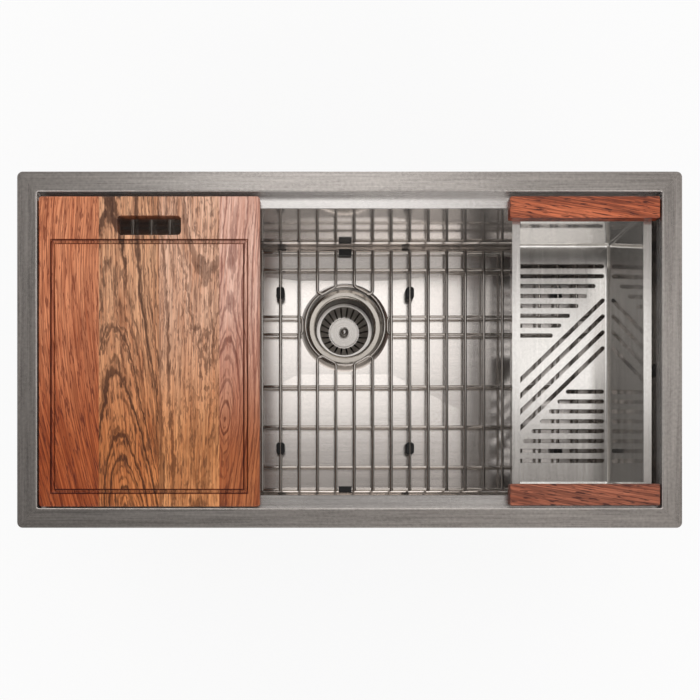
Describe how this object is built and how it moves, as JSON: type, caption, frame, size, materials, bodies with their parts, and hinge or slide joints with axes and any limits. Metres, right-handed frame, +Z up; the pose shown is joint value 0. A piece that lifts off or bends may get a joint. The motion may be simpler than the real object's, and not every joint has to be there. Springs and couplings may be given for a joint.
{
  "type": "workstation kitchen sink",
  "caption": "Undermount steel kitchen sink bowl with ledges, sliding cutting board, hanging colander, wire bottom grid and a basket strainer with a pull-up stopper.",
  "frame": {"origin": "middle of the bowl's opening, in the plane of the rim's top face", "axes": "+X to the right along the long side, +Y to the rear where the drain lies, +Z up out of the bowl"},
  "size_m": [0.84, 0.45, 0.3505],
  "materials": {
    "bowl_steel": "fine brushed stainless sheet",
    "strainer_steel": "satin stainless",
    "wire_steel": "electropolished stainless wire",
    "pan_steel": "polished stainless sheet",
    "screw_steel": "plain steel",
    "nut_metal": "cast, dull grey",
    "seal_rubber": "matt black",
    "foot_rubber": "matt black",
    "pad_rubber": "matt black sheet",
    "slip_fibre": "pressed fibre",
    "stave_wood_red": "oiled, reddish brown",
    "stave_wood_streaked": "oiled, dark streaks",
    "stave_wood_tan": "oiled, golden tan",
    "stave_wood_pink": "oiled, pinkish brown",
    "handle_wood": "oiled, reddish brown"
  },
  "bodies": {
    "sink": {"sink_bowl": "bowl_steel", "floor_pad_left": "pad_rubber", "floor_pad_right": "pad_rubber", "wall_pad_front": "pad_rubber", "wall_pad_rear": "pad_rubber", "wall_pad_left": "pad_rubber", "wall_pad_right": "pad_rubber", "strainer_body": "strainer_steel", "flange_seal": "seal_rubber", "strainer_gasket": "seal_rubber", "friction_ring": "slip_fibre", "lock_nut": "nut_metal"},
    "board": {"board_stave_1": "stave_wood_red", "board_stave_2": "stave_wood_streaked", "board_stave_3": "stave_wood_tan", "board_stave_4": "stave_wood_pink"},
    "colander": {"colander_pan": "pan_steel", "colander_handle_rear": "handle_wood", "colander_handle_front": "handle_wood", "colander_screws": "screw_steel"},
    "grid": {"grid_frame": "wire_steel", "grid_cross_wires": "wire_steel", "grid_long_wires": "wire_steel", "grid_drain_ring": "wire_steel", "grid_feet": "foot_rubber", "grid_bumpers": "foot_rubber"},
    "basket": {"strainer_basket": "strainer_steel", "stem_ring": "seal_rubber"},
    "stopper": {"basket_disc": "strainer_steel", "pull_knob": "strainer_steel", "stopper_stem": "strainer_steel", "stopper_seal": "seal_rubber", "stopper_washer": "strainer_steel", "stopper_nut": "strainer_steel"}
  },
  "joints": [
    {"name": "board_slide", "type": "slide", "parent": "sink", "child": "board", "axis": [1, 0, 0], "range_m": [0, 0.156]},
    {"name": "colander_slide", "type": "slide", "parent": "sink", "child": "colander", "axis": [1, 0, 0], "range_m": [-0.156, 0]},
    {"name": "grid_lift", "type": "slide", "parent": "sink", "child": "grid", "axis": [0, 0, 1], "range_m": [0, 0.07]},
    {"name": "basket_lift", "type": "slide", "parent": "sink", "child": "basket", "axis": [0, 0, 1], "range_m": [0, 0.12]},
    {"name": "stopper_pull", "type": "slide", "parent": "basket", "child": "stopper", "axis": [0, 0, 1], "range_m": [0, 0.008]}
  ]
}
